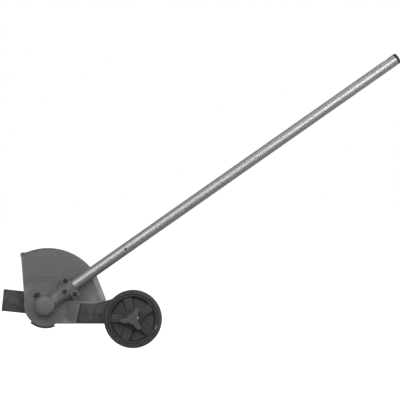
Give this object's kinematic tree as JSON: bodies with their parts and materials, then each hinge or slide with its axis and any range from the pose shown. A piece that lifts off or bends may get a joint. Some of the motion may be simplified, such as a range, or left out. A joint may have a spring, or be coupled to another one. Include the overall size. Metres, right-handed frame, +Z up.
{
  "type": "lawn edger",
  "caption": "Lawn edger attachment: vertical blade under a fan-shaped guard, bevel gear case, depth wheel on an arm, and a straight tube with a drive shaft inside.",
  "frame": {"origin": "on the ground under the middle of the whole object, at the pictured pose", "axes": "+Z up, +X from the blade towards the upper end of the tube, +Y from the wheel's side towards the blade's side"},
  "size_m": [0.9216, 0.118, 0.6757],
  "materials": {
    "tube_metal": "brushed, bright",
    "bright_steel": "zinc plated",
    "gear_steel": "machined, oiled",
    "black_steel": "black oxide",
    "cast_housing": "grey powder coat on cast alloy",
    "guard_paint": "grey powder coat",
    "bracket_paint": "grey powder coat",
    "blade_steel": "dark heat-treated steel",
    "arm_paint": "dark grey paint",
    "black_plastic": "black, moulded",
    "wheel_plastic": "charcoal, moulded",
    "tyre_rubber": "matt rubber",
    "seal_rubber": "nitrile rubber",
    "guide_plastic": "natural acetal",
    "insert_brass": "turned brass"
  },
  "bodies": {
    "edger_frame": {"shaft_tube": "tube_metal", "tube_end_bush": "black_plastic", "shaft_guide_lower": "guide_plastic", "shaft_guide_middle": "guide_plastic", "shaft_guide_upper": "guide_plastic", "guide_rivet": "black_steel", "pinion_bearing_outer_ring": "bright_steel", "pinion_circlip": "black_steel", "gear_case": "cast_housing", "gear_case_cover": "cast_housing", "clamp_cap": "cast_housing", "clamp_bolt_upper": "black_steel", "clamp_bolt_lower": "black_steel", "locating_screw": "black_steel", "output_front_outer_ring": "bright_steel", "output_rear_outer_ring": "bright_steel", "output_seal": "seal_rubber", "blade_guard": "guard_paint", "guard_screw_1": "black_steel", "guard_screw_2": "black_steel", "guard_screw_3": "black_steel", "guard_screw_4": "black_steel", "wear_shoe": "arm_paint", "shoe_screw_1": "black_steel", "shoe_screw_2": "black_steel", "arm_bracket": "bracket_paint", "bracket_screw_near": "black_steel", "bracket_screw_far": "black_steel", "wheel_arm": "arm_paint", "arm_bolt_near": "black_steel", "arm_bolt_far": "black_steel", "arm_nut_near": "bright_steel", "arm_nut_far": "bright_steel"},
    "blade_rotor": {"output_shaft": "bright_steel", "bevel_gear": "gear_steel", "output_front_inner_ring": "bright_steel", "output_rear_inner_ring": "bright_steel", "inner_flange": "gear_steel", "edger_blade": "blade_steel", "blade_cup_washer": "gear_steel", "blade_nut": "bright_steel"},
    "drive_line": {"drive_shaft": "bright_steel", "pinion_gear": "gear_steel", "pinion_bearing_inner_ring": "bright_steel"},
    "spindle_lock": {"spindle_lock_button": "black_plastic", "lock_spring": "bright_steel"},
    "wheel_carriage": {"axle_bolt": "bright_steel", "axle_sleeve": "bright_steel", "hub_washer": "bright_steel", "clamp_washer": "bright_steel"},
    "wheel": {"wheel_rim": "wheel_plastic", "tyre": "tyre_rubber", "wheel_bush_front": "guide_plastic", "wheel_bush_rear": "guide_plastic"},
    "knob": {"depth_knob": "wheel_plastic", "knob_insert": "insert_brass"}
  },
  "joints": [
    {"name": "blade_spin", "type": "hinge", "parent": "edger_frame", "child": "blade_rotor", "pos_m": [-0.35715, -0.013, 0.0973], "axis": [0, 1, 0], "continuous": true},
    {"name": "drive_spin", "type": "hinge", "parent": "edger_frame", "child": "drive_line", "pos_m": [-0.35715, -0.013, 0.0973], "axis": [0.8187, 0, 0.5743], "continuous": true},
    {"name": "depth_slide", "type": "slide", "parent": "edger_frame", "child": "wheel_carriage", "axis": [0, 0, 1], "range_m": [0, 0.038]},
    {"name": "wheel_spin", "type": "hinge", "parent": "wheel_carriage", "child": "wheel", "pos_m": [-0.15455, -0.013, 0.0665], "axis": [0, 1, 0], "continuous": true},
    {"name": "knob_turn", "type": "hinge", "parent": "wheel_carriage", "child": "knob", "pos_m": [-0.15455, -0.013, 0.0665], "axis": [0, -1, 0], "range_deg": [0, 360]},
    {"name": "lock_press", "type": "slide", "parent": "edger_frame", "child": "spindle_lock", "axis": [0, 1, 0], "range_m": [0, 0.004], "stiffness_N_per_m": 400, "springref_m": -0.003}
  ],
  "couplings": [
    {"joint": "drive_spin", "follows": "blade_spin", "ratio": 1.3333}
  ]
}
